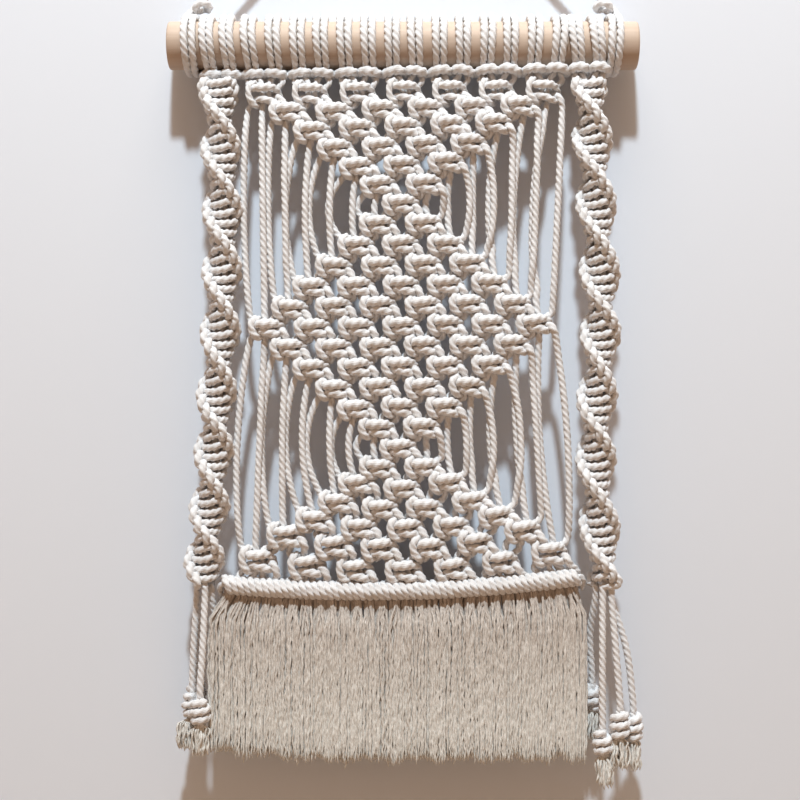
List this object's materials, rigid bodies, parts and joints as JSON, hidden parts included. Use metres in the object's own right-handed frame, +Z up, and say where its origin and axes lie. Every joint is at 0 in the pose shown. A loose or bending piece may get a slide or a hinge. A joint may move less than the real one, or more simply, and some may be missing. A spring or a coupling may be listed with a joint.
{
  "type": "macrame wall hanging on a wooden dowel with a hanging cord",
  "caption": "Cream cotton macrame panel with knotted triangles and a diamond, twisted side cords and a cut fringe, tied on a round wooden dowel with a hanging cord.",
  "frame": {"origin": "the point where the hanging cord rests on its nail, straight above the middle of the dowel", "axes": "+Z up, +X to the viewer's right along the dowel, the front faces -Y and the wall is at +Y"},
  "size_m": [0.3176, 0.0499, 0.6716],
  "materials": {
    "dowel_wood": "bare sanded birch, matte",
    "cotton_rope": "undyed three-ply twisted cotton rope",
    "fringe_yarn": "unravelled cotton yarn"
  },
  "bodies": {
    "root": {"dowel": "dowel_wood", "hanging_cord": "cotton_rope", "hanger_turns_left": "cotton_rope", "hanger_turns_right": "cotton_rope", "lark_heads_1": "cotton_rope", "lark_heads_2": "cotton_rope", "lark_heads_3": "cotton_rope", "lark_heads_4": "cotton_rope", "lark_heads_5": "cotton_rope", "lark_heads_6": "cotton_rope", "lark_heads_7": "cotton_rope", "lark_heads_8": "cotton_rope", "lark_heads_9": "cotton_rope", "net_upper": "cotton_rope", "net_diamond": "cotton_rope", "net_lower": "cotton_rope", "strand_upper_left": "cotton_rope", "pair_upper_left_1": "cotton_rope", "pair_upper_left_2": "cotton_rope", "pair_upper_left_3": "cotton_rope", "pair_upper_left_4": "cotton_rope", "pair_upper_left_5": "cotton_rope", "strand_upper_right": "cotton_rope", "pair_upper_right_1": "cotton_rope", "pair_upper_right_2": "cotton_rope", "pair_upper_right_3": "cotton_rope", "pair_upper_right_4": "cotton_rope", "pair_upper_right_5": "cotton_rope", "strand_lower_left": "cotton_rope", "pair_lower_left_1": "cotton_rope", "pair_lower_left_2": "cotton_rope", "pair_lower_left_3": "cotton_rope", "pair_lower_left_4": "cotton_rope", "pair_lower_left_5": "cotton_rope", "strand_lower_right": "cotton_rope", "pair_lower_right_1": "cotton_rope", "pair_lower_right_2": "cotton_rope", "pair_lower_right_3": "cotton_rope", "pair_lower_right_4": "cotton_rope", "pair_lower_right_5": "cotton_rope", "hitch_bar": "cotton_rope", "fringe": "fringe_yarn", "spiral_left": "cotton_rope", "spiral_right": "cotton_rope", "tail_left_1": "cotton_rope", "tail_left_2": "cotton_rope", "tail_left_3": "cotton_rope", "tail_left_4": "cotton_rope", "tail_right_1": "cotton_rope", "tail_right_2": "cotton_rope", "tail_right_3": "cotton_rope", "tail_right_4": "cotton_rope", "tail_knot_left_1": "cotton_rope", "tail_knot_left_2": "cotton_rope", "tail_knot_left_3": "cotton_rope", "tail_knot_left_4": "cotton_rope", "tail_knot_right_1": "cotton_rope", "tail_knot_right_2": "cotton_rope", "tail_knot_right_3": "cotton_rope", "tail_knot_right_4": "cotton_rope"}
  },
  "joints": []
}
